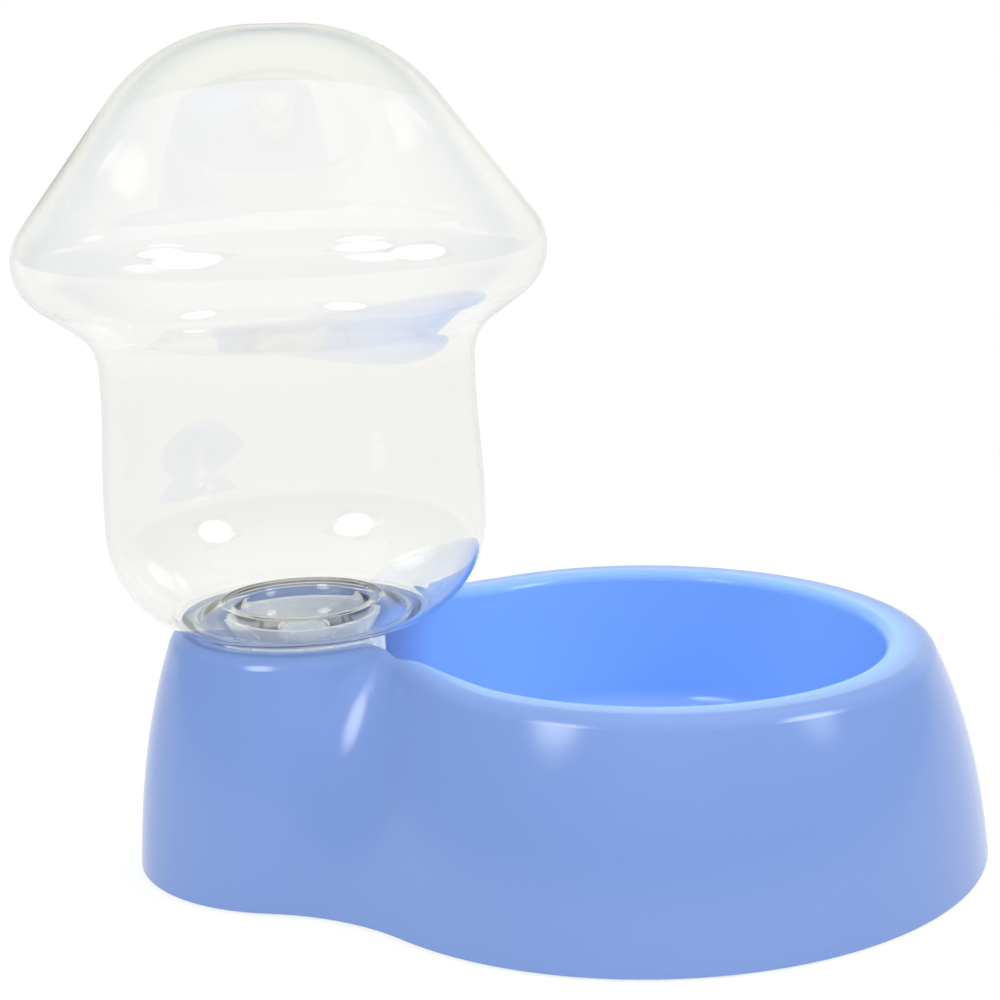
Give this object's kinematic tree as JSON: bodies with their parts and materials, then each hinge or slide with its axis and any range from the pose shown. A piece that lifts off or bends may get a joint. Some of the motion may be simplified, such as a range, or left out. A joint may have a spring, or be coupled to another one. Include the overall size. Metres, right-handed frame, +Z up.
{
  "type": "pet water dispenser",
  "caption": "Gravity water dispenser for cats and dogs: a clear bottle stands neck down on a round bowl and refills it through a valved screw cap.",
  "frame": {"origin": "on the floor plane under the middle of the whole part's length, in its plane of symmetry", "axes": "+X runs along the base from the bottle to the far end of the bowl, +Y is across the base, +Z is up"},
  "size_m": [0.3208, 0.2306, 0.2825],
  "materials": {
    "base_blue": "smooth glossy polypropylene, light periwinkle blue",
    "foot_rubber": "soft matt grey rubber",
    "bottle_clear": "clear blown PET, glossy, slightly wavy",
    "cap_white": "translucent natural white polypropylene, satin",
    "seal_silicone": "soft translucent white silicone",
    "valve_white": "white acetal, satin",
    "spring_steel": "drawn stainless wire"
  },
  "bodies": {
    "base": {"base_shell": "base_blue", "rubber_feet": "foot_rubber"},
    "valve": {"valve_plunger": "valve_white", "valve_washer": "seal_silicone", "plunger_foot": "valve_white", "valve_spring": "spring_steel"},
    "cap": {"valve_cap": "cap_white"},
    "seal": {"cap_gasket": "seal_silicone"},
    "bottle": {"water_bottle": "bottle_clear"}
  },
  "joints": [
    {"name": "bottle_lift", "type": "slide", "parent": "base", "child": "valve", "axis": [0, 0, 1], "range_m": [0, 0.09]},
    {"name": "valve_close", "type": "slide", "parent": "valve", "child": "cap", "axis": [0, 0, 1], "range_m": [0, 0.004], "stiffness_N_per_m": 60, "springref_m": 0.008, "deforming": ["valve_spring"]},
    {"name": "unscrew_rise", "type": "slide", "parent": "cap", "child": "seal", "axis": [0, 0, 1], "range_m": [0, 0.006]},
    {"name": "bottle_unscrew", "type": "hinge", "parent": "seal", "child": "bottle", "pos_m": [-0.0729, 0, 0.076], "axis": [0, 0, 1], "range_deg": [0, 540]}
  ],
  "couplings": [
    {"joint": "unscrew_rise", "follows": "bottle_unscrew", "m_per_rad": 0.000636}
  ]
}
